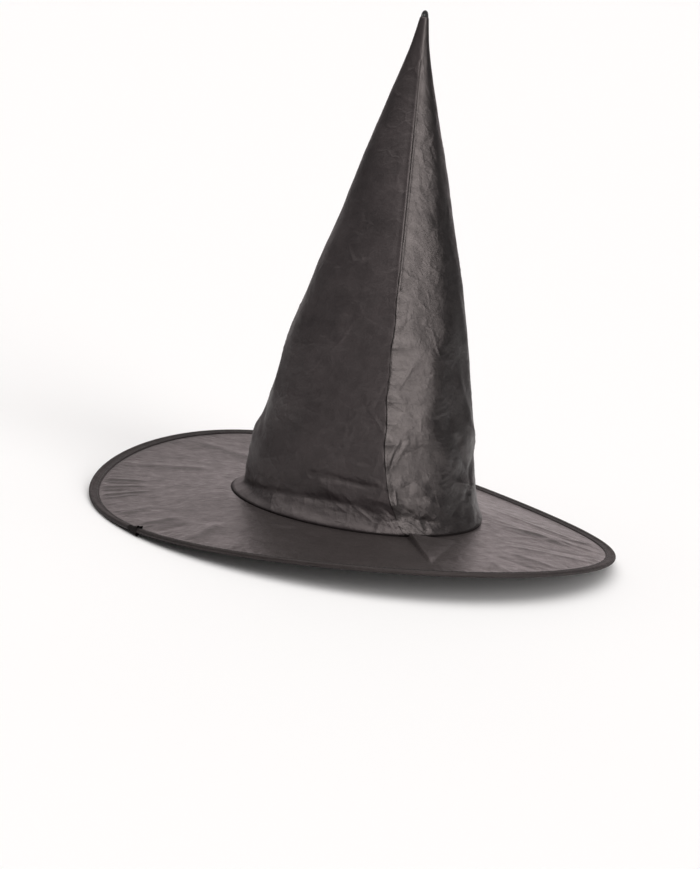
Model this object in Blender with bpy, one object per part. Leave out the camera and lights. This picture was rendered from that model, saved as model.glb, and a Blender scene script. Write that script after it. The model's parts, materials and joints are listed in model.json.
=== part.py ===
"""Witch hat of black taffeta: a two-gore cone on a round brim that a spring hoop keeps open.

Metres, +Z up. The origin is below the centre of the hat on the surface it stands on, and the
front seam of the crown faces -Y. Heights named "rise" are measured up from the seam that joins
the crown to the brim.
"""

import math

import bmesh
import bpy

# Driving dimensions of the brim and its hoop.
BRIM_RADIUS = 0.190
HOOP_WAVES = (
    (2, 0.0094, math.radians(-70.1)),
    (3, 0.0016, math.radians(-8.0)),
)
RIM_SEGMENTS = 64
WIRE_RADIUS = 0.0007
CASING_INNER_RADIUS = 0.0015
CASING_WIDTH = 0.0085
JOIN_ANGLE = math.radians(-147.5)
JOIN_LENGTH = 0.012
FERRULE_LENGTH = 0.012

# Cloth, and the clearance kept between touching pieces.
CLOTH = 0.0006
TAPE = 0.0004
LINING = 0.0005
BAND = 0.0008
GAP = 0.0003

# Driving dimensions of the crown.
BASE_RADIUS = 0.0917
BASE_ABOVE_HOOP = 0.0057
CROWN_OUTLINE = (
    (0.0, BASE_RADIUS),
    (0.004, 0.0886),
    (0.009, 0.0862),
    (0.024, 0.0826),
    (0.054, 0.0773),
    (0.094, 0.0686),
    (0.144, 0.0575),
    (0.194, 0.0436),
    (0.244, 0.0300),
    (0.294, 0.0152),
    (0.328, 0.0067),
    (0.350, 0.0020),
)
CROWN_LEAN = 0.0045
SEAM_DRIFT = math.radians(16.5)
DRIFT_RISE = 0.030
SEAM_RIDGE = 0.030
RIDGE_SPREAD = 0.45
RIDGE_FULL_RISE = 0.060
GORE_STEPS = 18
TIP_STEPS = 10
BEND_START = 0.215
BEND_END = 0.275
GORE_TOP = 0.349
LINING_TOP = 0.325
BAND_HEIGHT = 0.025
OVERLOCK_HEIGHT = 0.0062
ALLOWANCE_DEPTH = 0.006
ALLOWANCE_THICKNESS = 0.0012
ALLOWANCE_TOP = 0.322

# Care label, folded double and sewn to the top of the sweatband at the back.
LABEL_WIDTH = 0.024
LABEL_DROP = 0.020
LABEL_LAYER = 0.0003
LABEL_FOLD = 0.0004
LABEL_CLEARANCE = 0.0012

CASING_RADIUS = CASING_INNER_RADIUS + TAPE
RIM_RADIUS = BRIM_RADIUS - CASING_RADIUS
HEAD_RADIUS = BASE_RADIUS - 0.0023
SEAT_RADIUS = 0.098
STEP = 2 * math.pi / RIM_SEGMENTS


def clear_scene():
    for obj in list(bpy.data.objects):
        bpy.data.objects.remove(obj)


def make_material(name, colour, roughness, metallic=0.0):
    material = bpy.data.materials.new(name)
    material.use_nodes = True
    shader = material.node_tree.nodes["Principled BSDF"]
    shader.inputs["Base Color"].default_value = (*colour, 1.0)
    shader.inputs["Roughness"].default_value = roughness
    shader.inputs["Metallic"].default_value = metallic
    material.diffuse_color = (*colour, 1.0)
    return material


def sweep(name, sections, closed, material):
    """A solid through equal loops of points. An open one is capped by strips across each end loop."""
    mesh = bpy.data.meshes.new(name)
    build = bmesh.new()
    loops = [[build.verts.new(point) for point in section] for section in sections]
    size = len(loops[0])
    following = loops[1:] + loops[:1] if closed else loops[1:]
    for near, far in zip(loops, following):
        for i in range(size):
            j = (i + 1) % size
            build.faces.new((near[i], near[j], far[j], far[i]))
    if not closed:
        for end in (loops[0], loops[-1]):
            for i in range(size // 2 - 1):
                corners = (end[i], end[i + 1], end[size - 2 - i], end[size - 1 - i])
                build.faces.new(corners)
    bmesh.ops.recalc_face_normals(build, faces=build.faces)
    build.to_mesh(mesh)
    build.free()
    mesh.shade_smooth()
    mesh.set_sharp_from_angle(angle=math.radians(35))
    mesh.materials.append(material)
    obj = bpy.data.objects.new(name, mesh)
    bpy.context.scene.collection.objects.link(obj)
    return obj


def wave_height(angle):
    """How far the hoop stands above or below its mean plane: a saddle with a slight third wave."""
    return sum(size * math.cos(k * (angle - high)) for k, size, high in HOOP_WAVES)


LOWEST_WAVE = min(wave_height(i * STEP) for i in range(RIM_SEGMENTS))
HOOP_LIFT = CASING_RADIUS - LOWEST_WAVE
BASE_HEIGHT = HOOP_LIFT + BASE_ABOVE_HOOP


def rim_point(angle, outward, upward):
    """A point by its offset from the centre line of the hoop wire."""
    radius = RIM_RADIUS + outward
    height = HOOP_LIFT + wave_height(angle) + upward
    return (radius * math.cos(angle), radius * math.sin(angle), height)


def rim_loop(angle, profile):
    return [rim_point(angle, outward, upward) for outward, upward in profile]


def facet_loop(angle, profile):
    """The same on the straight side of the rim that holds this angle, so that short sleeves fit it."""
    first = math.floor(angle / STEP) * STEP
    share = (angle - first) / STEP
    near = rim_loop(first, profile)
    far = rim_loop(first + STEP, profile)
    return [
        tuple(a + (b - a) * share for a, b in zip(p, q)) for p, q in zip(near, far)
    ]


def arc(radius, start_deg, end_deg, steps):
    """Points of an arc as (outward, upward) pairs."""
    turns = [
        math.radians(start_deg + (end_deg - start_deg) * i / steps)
        for i in range(steps + 1)
    ]
    return [(radius * math.cos(t), radius * math.sin(t)) for t in turns]


def folded_tape(inside, half_gap, thickness, width):
    """Section of tape folded round a wire: two flat legs that hold the cloth, and a round nose."""
    leg = (width - inside - thickness, inside + thickness + 0.0013)
    outer_leg = half_gap + thickness
    outer = (
        [(-leg[0], outer_leg), (-leg[1], outer_leg)]
        + arc(inside + thickness, 130, -130, 4)
        + [(-leg[1], -outer_leg), (-leg[0], -outer_leg)]
    )
    inner = (
        [(-leg[0], -half_gap), (-leg[1], -half_gap)]
        + arc(inside, -130, 130, 4)
        + [(-leg[1], half_gap), (-leg[0], half_gap)]
    )
    return outer + inner


def make_brim(material):
    """One layer of cloth: flat round the head opening, then straight out to the wavy hoop."""
    leg_start = BRIM_RADIUS - CASING_WIDTH
    edge = RIM_RADIUS - CASING_INNER_RADIUS - GAP
    radii = (HEAD_RADIUS, SEAT_RADIUS, 0.119, 0.140, 0.161, leg_start, edge)
    sections = []
    for i in range(RIM_SEGMENTS):
        angle = i * STEP
        rim_height = HOOP_LIFT + wave_height(angle)
        middle = []
        for radius in radii:
            share = (radius - SEAT_RADIUS) / (leg_start - SEAT_RADIUS)
            share = min(max(share, 0.0), 1.0)
            height = BASE_HEIGHT + (rim_height - BASE_HEIGHT) * share
            middle.append((radius * math.cos(angle), radius * math.sin(angle), height))
        top = [(x, y, z + CLOTH / 2) for x, y, z in middle]
        bottom = [(x, y, z - CLOTH / 2) for x, y, z in reversed(middle)]
        sections.append(top + bottom)
    sweep("brim", sections, True, material)


def make_casing(tape, thread):
    """The folded tape round the edge, the lapped join of its ends, and its two rows of stitches."""
    half_gap = CLOTH / 2 + GAP
    angles = [i * STEP for i in range(RIM_SEGMENTS)]
    profile = folded_tape(CASING_INNER_RADIUS, half_gap, TAPE, CASING_WIDTH)
    sweep("brim_binding", [rim_loop(a, profile) for a in angles], True, tape)

    lap = folded_tape(
        CASING_RADIUS + GAP, half_gap + TAPE + GAP, TAPE, CASING_WIDTH + TAPE + GAP
    )
    middle = (math.floor(JOIN_ANGLE / STEP) + 0.5) * STEP
    reach = JOIN_LENGTH / 2 / BRIM_RADIUS
    ends = (middle - reach, middle + reach)
    sweep("binding_join", [facet_loop(a, lap) for a in ends], False, tape)

    row = CASING_WIDTH - CASING_RADIUS - 0.0012
    stitch = 0.0004
    base = half_gap + TAPE + GAP
    for name, side in (("binding_stitches_top", 1), ("binding_stitches_under", -1)):
        thread_loop = (
            (-row, side * base),
            (-row + stitch, side * base),
            (-row + stitch, side * (base + stitch)),
            (-row, side * (base + stitch)),
        )
        first = JOIN_ANGLE + STEP
        count = RIM_SEGMENTS - 2
        start = math.ceil(first / STEP)
        loops = [rim_loop((start + i) * STEP, thread_loop) for i in range(count)]
        sweep(name, loops, False, thread)


def make_hoop(steel, metal):
    """The spring wire, cut once, and the crimped ferrule over its two ends."""
    facet = math.floor(JOIN_ANGLE / STEP) + 3
    cut = (facet + 0.5) * STEP
    half_cut = GAP / RIM_RADIUS
    wire = arc(WIRE_RADIUS, 0, 300, 5)
    loops = [facet_loop(cut + half_cut, wire)]
    loops += [rim_loop((facet + 1 + i) * STEP, wire) for i in range(RIM_SEGMENTS)]
    loops += [facet_loop(cut - half_cut, wire)]
    sweep("hoop_wire", loops, False, steel)

    bore = WIRE_RADIUS + GAP * 0.85
    outside = CASING_INNER_RADIUS - GAP
    reach = FERRULE_LENGTH / 2 / RIM_RADIUS
    sides = 6
    sections = []
    for i in range(sides):
        turn = 2 * math.pi * i / sides
        direction = (math.cos(turn), math.sin(turn))
        corners = []
        for end, radius in ((-1, bore), (1, bore), (1, outside), (-1, outside)):
            offset = [(radius * direction[0], radius * direction[1])]
            corners += facet_loop(cut + end * reach, offset)
        sections.append(corners)
    sweep("hoop_ferrule", sections, True, metal)


def crown_radius(rise):
    """Half-width of the crown: a smooth curve through its outline."""
    points = CROWN_OUTLINE
    last = len(points) - 1
    i = 0
    while i < last - 1 and rise > points[i + 1][0]:
        i += 1

    def slope(k):
        before = points[max(k - 1, 0)]
        after = points[min(k + 1, last)]
        return (after[1] - before[1]) / (after[0] - before[0])

    (low, start), (high, end) = points[i], points[i + 1]
    span = high - low
    t = (rise - low) / span
    return (
        start * (1 + 2 * t) * (1 - t) ** 2
        + end * t * t * (3 - 2 * t)
        + span * slope(i) * t * (1 - t) ** 2
        - span * slope(i + 1) * t * t * (1 - t)
    )


def crown_axis(rise):
    """Sideways place of the crown's axis: it leans a little towards -X as it rises."""
    return -CROWN_LEAN * (rise / GORE_TOP) ** 2


def front_seam_angle(rise):
    """Where the front seam lies round the crown: straight above, drifting to +X towards the brim."""
    return SEAM_DRIFT * math.exp(-rise / DRIFT_RISE)


def crown_point(rise, turn, side, inset):
    """A point on a gore. turn runs from 0 at the front seam to pi at the back, side is -1 or 1."""
    to_seam = min(turn, math.pi - turn)
    fade = min(rise / RIDGE_FULL_RISE, 1.0)
    ridge = SEAM_RIDGE * fade * math.exp(-to_seam / RIDGE_SPREAD)
    radius = crown_radius(rise) * (1 + ridge) - inset
    around = side * turn + front_seam_angle(rise) * (1 - turn / math.pi)
    x = crown_axis(rise) + radius * math.sin(around)
    return (x, -radius * math.cos(around), BASE_HEIGHT + rise)


def rises_between(low, high):
    """The heights of the crown's sections from low to high, shared by all its layers."""
    shared = (0.002, 0.004, OVERLOCK_HEIGHT, 0.009, 0.016, BAND_HEIGHT, 0.040, 0.065)
    shared += (0.094, 0.125, 0.160, 0.188, 0.245, 0.294, 0.310, 0.328)
    inside = [rise for rise in shared if low + 0.0006 < rise < high - 0.0006]
    return [low] + inside + [high]


def make_gore_layer(name, side, low, high, inset, thickness, apart, steps, material):
    """Half of the cone between two heights, as a thin shell that keeps apart from the seam plane."""
    sections = []
    for rise in rises_between(low, high):
        outer = []
        inner = []
        for i in range(steps + 1):
            for layer, depth in ((outer, inset), (inner, inset + thickness)):
                first = math.asin(apart / (crown_radius(rise) - depth))
                turn = min(max(math.pi * i / steps, first), math.pi - first)
                layer.append(crown_point(rise, turn, side, depth))
        sections.append(outer + inner[::-1])
    sweep(name, sections, False, material)


def make_allowance(name, turn, low, high, material):
    """The gores' overlocked edges inside a seam. turn is 0 at the front seam and pi at the back."""
    half = ALLOWANCE_THICKNESS / 2
    sections = []
    for rise in rises_between(low, high):
        axis = crown_axis(rise)
        x, y, z = crown_point(rise, turn, 1, CLOTH + GAP)
        start = math.hypot(x - axis, y)
        outward = ((x - axis) / start, y / start)
        depth = min(ALLOWANCE_DEPTH, 0.4 * start)
        corners = []
        for across, out in ((-half, start), (half, start), (half, start - depth), (-half, start - depth)):
            corner_x = axis + out * outward[0] - across * outward[1]
            corners.append((corner_x, out * outward[1] + across * outward[0], z))
        sections.append(corners)
    sweep(name, sections, False, material)


def make_crown(cloth, lining, thread):
    """Two gores, each with its stiffener, and the allowances of the front and back seams.

    Each layer is cut at the stretch where the soft crown bends.
    """
    bottom = CLOTH / 2 + GAP
    lining_bottom = OVERLOCK_HEIGHT + GAP
    gore_stretches = (
        ("", bottom, BEND_START, GORE_STEPS),
        ("_bend", BEND_START + GAP, BEND_END - GAP, TIP_STEPS),
        ("_tip", BEND_END, GORE_TOP, TIP_STEPS),
    )
    lining_inset = CLOTH + GAP
    lining_apart = ALLOWANCE_THICKNESS / 2 + GAP
    for side_name, side in (("left", -1), ("right", 1)):
        for part, low, high, steps in gore_stretches:
            gore = f"{side_name}_gore{part}"
            make_gore_layer(gore, side, low, high, 0.0, CLOTH, GAP / 2, steps, cloth)
            start = max(low, lining_bottom)
            end = min(high, LINING_TOP)
            name = f"{side_name}_stiffener{part}"
            make_gore_layer(
                name, side, start, end, lining_inset, LINING, lining_apart, steps, lining
            )
    for seam_name, turn in (("front", 0.0), ("back", math.pi)):
        for part, low, high, _ in gore_stretches:
            start = max(low, BAND_HEIGHT + 2 * GAP)
            end = min(high, ALLOWANCE_TOP)
            make_allowance(f"{seam_name}_seam{part}", turn, start, end, thread)


def crown_ring(rises, inset, thickness):
    """Sections of a band that runs right round inside the crown."""
    sections = []
    for i in range(2 * GORE_STEPS):
        side = 1 if i <= GORE_STEPS else -1
        around = i if i <= GORE_STEPS else 2 * GORE_STEPS - i
        turn = math.pi * around / GORE_STEPS
        outer = [crown_point(rise, turn, side, inset) for rise in rises]
        inner = [
            crown_point(rise, turn, side, inset + thickness) for rise in reversed(rises)
        ]
        sections.append(outer + inner)
    return sections


def make_bands(band, thread):
    """The sweatband, and the overlocked allowance of the crown-to-brim seam behind it."""
    bottom = CLOTH / 2 + GAP
    overlock_rises = rises_between(bottom, OVERLOCK_HEIGHT)
    overlock = crown_ring(overlock_rises, CLOTH + GAP, LINING)
    sweep("base_seam_overlock", overlock, True, thread)
    band_rises = rises_between(bottom, BAND_HEIGHT)
    inset = CLOTH + LINING + 2 * GAP
    sweep("sweatband", crown_ring(band_rises, inset, BAND), True, band)


def make_tip_tack(thread):
    """The round bar tack that closes the point."""
    top = BASE_HEIGHT + GORE_TOP + GAP
    x = crown_axis(GORE_TOP)
    sections = []
    for radius, rise in ((0.0019, 0.0), (0.0019, 0.0010), (0.0014, 0.0020), (0.0006, 0.0026)):
        turns = [2 * math.pi * i / 8 for i in range(8)]
        sections.append(
            [(x + radius * math.cos(t), radius * math.sin(t), top + rise) for t in turns]
        )
    sweep("tip_bar_tack", sections, False, thread)


def make_label(satin):
    """A blank label of folded tape. It hangs from its sewn top edge, which is the hinge's axis."""
    half = LABEL_WIDTH / 2
    top_rise = BAND_HEIGHT - 0.001
    inset = CLOTH + LINING + 2 * GAP + BAND
    inner = crown_point(top_rise, math.pi, 1, inset)[1]
    thickness = 2 * LABEL_LAYER + LABEL_FOLD
    outer_y = math.sqrt(inner**2 - half**2) - LABEL_CLEARANCE
    axis_y = outer_y - thickness / 2
    axis_z = BASE_HEIGHT + top_rise
    nose = LABEL_DROP - thickness / 2
    outer = [(thickness / 2, 0.0), (thickness / 2, -nose)]
    outer += [(0.0, -LABEL_DROP), (-thickness / 2, -nose), (-thickness / 2, 0.0)]
    slot = LABEL_FOLD / 2
    inner_fold = [(-slot, 0.0), (-slot, -nose), (0.0, -nose - slot), (slot, -nose), (slot, 0.0)]
    profile = outer + inner_fold
    sections = [[(x, y, z) for y, z in profile] for x in (-half, half)]
    label = sweep("care_label", sections, False, satin)
    label.location = (0.0, axis_y, axis_z)


def main():
    clear_scene()
    black = (0.018, 0.016, 0.016)
    taffeta = make_material("taffeta", black, 0.45)
    brim_cloth = make_material("brim_taffeta", (0.030, 0.027, 0.027), 0.50)
    tape = make_material("binding_tape", (0.012, 0.010, 0.010), 0.60)
    stiffener = make_material("stiffener", (0.035, 0.034, 0.035), 0.90)
    thread = make_material("thread", (0.010, 0.009, 0.009), 0.70)
    band = make_material("sweatband", (0.020, 0.018, 0.018), 0.75)
    satin = make_material("label_satin", (0.75, 0.74, 0.72), 0.50)
    steel = make_material("spring_steel", (0.55, 0.55, 0.56), 0.35, 1.0)
    zinc = make_material("ferrule_metal", (0.60, 0.60, 0.58), 0.45, 1.0)
    make_brim(brim_cloth)
    make_casing(tape, thread)
    make_hoop(steel, zinc)
    make_crown(taffeta, stiffener, thread)
    make_bands(band, thread)
    make_tip_tack(thread)
    make_label(satin)


main()
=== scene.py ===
"""Looks of the witch hat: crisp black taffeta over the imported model, in its metres and frame.

Angles on the crown and brim run from the front (-Y), positive towards +X, in degrees where a
name or a list says so. "Rise" is the height above the seam that joins the crown to the brim.
"""

import json
from math import cos, degrees, exp, hypot, pi, radians, sin

import bpy
import numpy as np
from mathutils import Matrix, Vector, noise


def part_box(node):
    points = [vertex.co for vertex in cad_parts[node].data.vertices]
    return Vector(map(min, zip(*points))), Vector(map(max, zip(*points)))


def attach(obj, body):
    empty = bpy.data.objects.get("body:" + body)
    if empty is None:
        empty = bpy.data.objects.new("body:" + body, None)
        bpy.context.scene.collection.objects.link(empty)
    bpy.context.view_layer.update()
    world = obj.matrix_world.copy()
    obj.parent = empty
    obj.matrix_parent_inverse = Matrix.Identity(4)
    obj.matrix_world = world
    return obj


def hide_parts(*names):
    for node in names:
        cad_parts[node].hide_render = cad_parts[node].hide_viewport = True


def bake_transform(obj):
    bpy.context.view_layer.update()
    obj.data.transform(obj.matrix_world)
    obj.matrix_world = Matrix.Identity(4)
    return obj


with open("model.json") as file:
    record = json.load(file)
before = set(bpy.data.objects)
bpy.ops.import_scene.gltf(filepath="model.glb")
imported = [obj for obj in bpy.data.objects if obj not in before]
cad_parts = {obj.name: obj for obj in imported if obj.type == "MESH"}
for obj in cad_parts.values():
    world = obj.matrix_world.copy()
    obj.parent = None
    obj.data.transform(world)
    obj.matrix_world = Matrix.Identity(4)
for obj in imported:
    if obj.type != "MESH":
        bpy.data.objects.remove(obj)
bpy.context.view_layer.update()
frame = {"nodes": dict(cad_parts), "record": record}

MM = 0.001
LOWER = "hat"
UPPER = "crown_tip"
LABEL = "label"
# The ends of the CAD nodes' names, from the bottom of the crown to its top.
CAD_STRETCHES = ("", "_bend", "_tip")

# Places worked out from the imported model, and the sizes that part.py drives it by.
OPENING_RIM = next(m for m in frame["record"]["mounts"] if m["name"] == "head_opening_rim")
CAD_CLOTH = 0.6 * MM
BASE_HEIGHT = OPENING_RIM["pos_m"][2] + CAD_CLOTH / 2
BASE_ABOVE_HOOP = 5.7 * MM
HOOP_LIFT = BASE_HEIGHT - BASE_ABOVE_HOOP
BRIM_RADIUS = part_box("brim_binding")[1][0]
CASING_RADIUS = 1.9 * MM
RIM_RADIUS = BRIM_RADIUS - CASING_RADIUS
CASING_WIDTH = 7.4 * MM
LEG_RADIUS = BRIM_RADIUS - CASING_WIDTH
SEAT_RADIUS = 98 * MM
HEAD_RADIUS = 88.8 * MM
GORE_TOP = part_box("left_gore_tip")[1][2] - BASE_HEIGHT
BAND_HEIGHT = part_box("sweatband")[1][2] - BASE_HEIGHT
ALLOWANCE_DEPTH = 6 * MM
# Waves of the hoop's height round the brim: how many, size, and the angle from +X of a crest.
HOOP_WAVES = ((2, 9.4 * MM, -70.1), (3, 1.6 * MM, -8.0))
SEAM_DRIFT = radians(16.5)
DRIFT_RISE = 30 * MM
CROWN_LEAN = 2.2 * MM
JOIN_ANGLE = radians(-59.1)

# Camera and studio.
CAMERA_DISTANCE = 2.0
CAMERA_AZIMUTH = radians(-8.0)
CAMERA_ELEVATION = radians(13.04)
CAMERA_ROLL = radians(8.5)
AIM_UP = 54.4 * MM
AIM_RIGHT = -2.9 * MM
LENS_MM = 115.5


# ---- meshes


def grid_faces(rows, columns, wrap=False, loop=False):
    """Quads of a grid of points stored row by row.

    wrap joins the last column to the first, and loop joins the last row to the first.
    """
    index = np.arange(rows * columns).reshape(rows, columns)
    if loop:
        index = np.concatenate([index, index[:1]])
    if wrap:
        index = np.concatenate([index, index[:, :1]], axis=1)
    near = index[:, :-1]
    far = index[:, 1:]
    return np.stack([near[:-1], far[:-1], far[1:], near[1:]], axis=-1).reshape(-1, 4)


def new_mesh(name, points, faces, flat=None):
    """An object from arrays. flat holds each point's place on the uncut cloth, for the weave."""
    mesh = bpy.data.meshes.new(name)
    mesh.from_pydata(points.reshape(-1, 3).tolist(), [], faces.tolist())
    if flat is not None:
        values = np.zeros((len(mesh.vertices), 3), np.float32)
        values[:, :2] = flat.reshape(-1, 2)
        attribute = mesh.attributes.new("cloth", "FLOAT_VECTOR", "POINT")
        attribute.data.foreach_set("vector", values.ravel())
    mesh.shade_smooth()
    mesh.update()
    obj = bpy.data.objects.new(name, mesh)
    bpy.context.scene.collection.objects.link(obj)
    return obj


def face_outward(obj):
    """Turns the faces so that they look away from the crown's axis."""
    mesh = obj.data
    centres = np.array([face.center for face in mesh.polygons])
    normals = np.array([face.normal for face in mesh.polygons])
    if (centres[:, :2] * normals[:, :2]).sum() < 0:
        mesh.flip_normals()


def tube_points(path, radius, sides):
    """Rings of points round a path, with ends drawn in."""
    tangent = np.gradient(path, axis=0)
    tangent /= np.linalg.norm(tangent, axis=-1, keepdims=True)
    guide = np.array([0.31, 0.52, 0.79])
    first = np.cross(tangent, guide)
    first /= np.linalg.norm(first, axis=-1, keepdims=True)
    second = np.cross(tangent, first)
    turns = np.linspace(0, 2 * pi, sides, endpoint=False)
    size = np.full(len(path), radius)
    size[[0, -1]] *= 0.3
    turns = turns[None, :, None]
    ring = np.cos(turns) * first[:, None] + np.sin(turns) * second[:, None]
    return path[:, None] + ring * size[:, None, None]


def thread_mesh(name, path, radius, sides=6):
    points = tube_points(path, radius, sides)
    return new_mesh(name, points, grid_faces(len(path), sides, wrap=True))


def distances_along(path):
    steps = np.linalg.norm(np.diff(path, axis=0), axis=-1)
    return np.concatenate([[0], np.cumsum(steps)])


def read_path(spots, at, path):
    return np.stack([np.interp(spots, at, path[:, axis]) for axis in range(3)], axis=-1)


def stitch_line(name, path, out, length, gap, radius):
    """Dashes of thread along a path. Each dives into the cloth at both ends."""
    at = distances_along(path)
    count = int(at[-1] / (length + gap))
    spacing = at[-1] / count
    share = np.linspace(0, 1, 7)
    rise = np.array([-0.9, 0.1, 0.75, 0.95, 0.75, 0.1, -0.9]) * radius
    sides = 6
    all_points = []
    all_faces = []
    face = grid_faces(len(share), sides, wrap=True)
    for i in range(count):
        spots = i * spacing + share * length
        middle = read_path(spots, at, path)
        lean = read_path(spots, at, out)
        points = tube_points(middle + lean * rise[:, None], radius, sides)
        all_faces.append(face + i * len(share) * sides)
        all_points.append(points.reshape(-1, 3))
    return new_mesh(name, np.concatenate(all_points), np.concatenate(all_faces))


def thicken(obj, thickness, offset=-1.0):
    """Gives the cloth its thickness, and leaves no modifier on it."""
    modifier = obj.modifiers.new("cloth thickness", "SOLIDIFY")
    modifier.thickness = thickness
    modifier.offset = offset
    modifier.use_even_offset = False
    graph = bpy.context.evaluated_depsgraph_get()
    mesh = bpy.data.meshes.new_from_object(obj.evaluated_get(graph), depsgraph=graph)
    obj.modifiers.clear()
    obj.data = mesh


def dress(obj, material):
    obj.data.materials.clear()
    obj.data.materials.append(material)


def add_piece(obj, material, body, slot, *nodes):
    """A piece on one body, with its material and the CAD nodes that it replaces. slot is not used.
    """
    dress(obj, material)
    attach(obj, body)
    if nodes:
        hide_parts(*nodes)


def smooth_curve(x, knots, values):
    """A smooth curve through the knots, read at x."""
    slopes = np.gradient(values, knots)
    i = np.clip(np.searchsorted(knots, x) - 1, 0, len(knots) - 2)
    span = knots[i + 1] - knots[i]
    t = np.clip((x - knots[i]) / span, 0, 1)
    return (
        values[i] * (1 + 2 * t) * (1 - t) ** 2
        + values[i + 1] * t * t * (3 - 2 * t)
        + span * slopes[i] * t * (1 - t) ** 2
        - span * slopes[i + 1] * t * t * (1 - t)
    )


def smoothstep(x, low, high):
    t = np.clip((x - low) / (high - low), 0, 1)
    return t * t * (3 - 2 * t)


def bump(x, middle, width):
    return np.exp(-(((x - middle) / width) ** 2))


def wrapped(angle):
    """The same angle between -pi and pi."""
    return (angle + pi) % (2 * pi) - pi


def place_round(angle, radius, height):
    """Points by their angle from the front, distance from the hat's axis, and height."""
    return np.stack([np.sin(angle) * radius, -np.cos(angle) * radius, height], axis=-1)


def pattern_places(points, size, shift):
    """Each point in units of the pattern's size in metres, moved by its seed's shift."""
    return [Vector(p) + Vector(shift) for p in points.reshape(-1, 3) / size]


def noise_field(points, size, seed):
    """Smooth fractal noise, about -1 to 1."""
    places = pattern_places(points, size, (seed * 17.3, seed * 5.1, seed * 9.7))
    return np.array([noise.fractal(p, 1.0, 2.0, 3) for p in places])


def crackle_field(points, size, seed):
    """Flat facets with sharp edges between them, 0 at the edges, as in crumpled stiff cloth."""
    places = pattern_places(points, size, (seed * 7.7, seed * 3.3, seed * 11.9))
    nearest = [noise.voronoi(p)[0] for p in places]
    return np.array([distances[1] - distances[0] for distances in nearest])


# ---- crown


def measure_crown():
    """Rises and half-widths of the CAD crown, read from its gores."""
    reach = {}
    for side in ("left", "right"):
        for part in CAD_STRETCHES:
            for vertex in frame["nodes"][f"{side}_gore{part}"].data.vertices:
                level = round(vertex.co.z - BASE_HEIGHT, 4)
                low, high = reach.get(level, (0.0, 0.0))
                reach[level] = (min(low, vertex.co.x), max(high, vertex.co.x))
    rises = np.array(sorted(reach))
    ends = np.array([reach[level] for level in sorted(reach)])
    keep = np.concatenate([[True], np.diff(rises) > 1.5 * MM])
    half_widths = (ends[:, 1] - ends[:, 0]) / 2
    return rises[keep], half_widths[keep]


CROWN_RISES, CROWN_HALF_WIDTHS = measure_crown()


def front_seam_angle(rise):
    return SEAM_DRIFT * np.exp(-np.maximum(rise, 0) / DRIFT_RISE)


def crown_axis(rise):
    return -CROWN_LEAN * (rise / GORE_TOP) ** 2


# How much further out than the CAD crown the two outlines stand, in mm, by rise in mm. Each has a
# middle angle in degrees and a reach in radians, over which it fades.
LEFT_REACH = (-98, 0.85)
RIGHT_REACH = (82, 0.8)
LEFT_SIDE = (
    (0, 0), (4, -4.4), (14, -3.2), (24, -1.7), (34, -0.4), (44, -0.3), (56, -1.5), (74, -2),
    (94, -1.2), (114, 0.4), (144, -0.8), (175, -0.1), (205, -1.3), (230, -0.9), (265, 0.3),
    (300, 0.9), (349, -0.5),
)
RIGHT_SIDE = (
    (0, 1.2), (5, 3), (10, 2.4), (15, 1.5), (24, 1.2), (54, 0.8), (74, 1.3), (94, 1.2),
    (144, 0.6), (190, 1.3), (215, 0.5), (255, -0.7), (300, -0.4), (349, -0.5),
)

# Soft swellings and hollows: angle and rise of the middle, reach in each, height in mm.
SWELLINGS = (
    (-20, 26, 34, 7, 1.3), (-18, 42, 26, 9, 1.2), (-60, 56, 18, 16, -1), (-76, 95, 8, 30, 1.3),
    (-66, 30, 14, 10, 1), (22, 14, 24, 12, 1), (24, 44, 16, 12, -0.5), (-16, 130, 24, 40, -0.9),
    (-48, 150, 20, 36, 0.8), (64, 110, 8, 34, -1.6), (66, 45, 10, 16, -1.4), (150, 60, 30, 30, 1.5),
    (-150, 70, 30, 40, 1.3), (170, 140, 24, 40, -1), (115, 150, 24, 40, 0.9),
)

# Where the cloth is drawn flat: each corner's angle and reach, and how flat it is between two.
CORNERS = (
    (-180, 1.016), (-128, 1.022), (-72, 1.036), (0, 1.047), (37, 1.045), (69, 1.01), (112, 1.05),
    (150, 1.02), (180, 1.016),
)
FLATNESS = (0.30, 0.28, 0.36, 0.75, 0.90, 0.60, 0.30, 0.30)
CORNER_ROUNDING = radians(12)
# The corner whose line wavers as it rises: the one between the lit and the dark side on the right.
WAVERING = 4
# The seams' ridge: how much further out, its reach in radians, and the rise where it is full.
SEAM_RIDGE = 0.03
RIDGE_SPREAD = 0.45
RIDGE_FULL_RISE = 30 * MM

# Folds by their ends: angle, rise, angle, rise, width and height in mm. A minus sign is a valley.
FOLDS = (
    (-92, 4, -60, 11, 3.5, -1.2), (-66, 10, -38, 15, 3.5, -1.5), (-42, 15, -12, 17, 3.5, -1.5),
    (-15, 17, 6, 13, 3.5, -1.1), (-36, 32, -20, 33, 3.5, -1.3), (-23, 33, 2, 31, 3, -1.2),
    (-30, 31, -14, 19, 3, 1), (10, 16, 40, 5, 4, -1), (46, 36, 72, 29, 4, 1.5),
    (70, 50, 58, 22, 4, -1.5), (48, 68, 64, 38, 4, -1.3), (62, 78, 86, 50, 4, 1.4),
    (54, 108, 68, 74, 5, 1.2), (58, 165, 70, 120, 5, 1), (-97, 54, -78, 34, 4, 1.5),
    (-106, 44, -84, 22, 4, -1.6), (-92, 38, -74, 16, 4, 1.3), (-112, 34, -96, 12, 4, 1.3),
    (-88, 66, -72, 44, 4, -1.2), (-84, 118, -74, 70, 5, 1.3),
)

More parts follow.
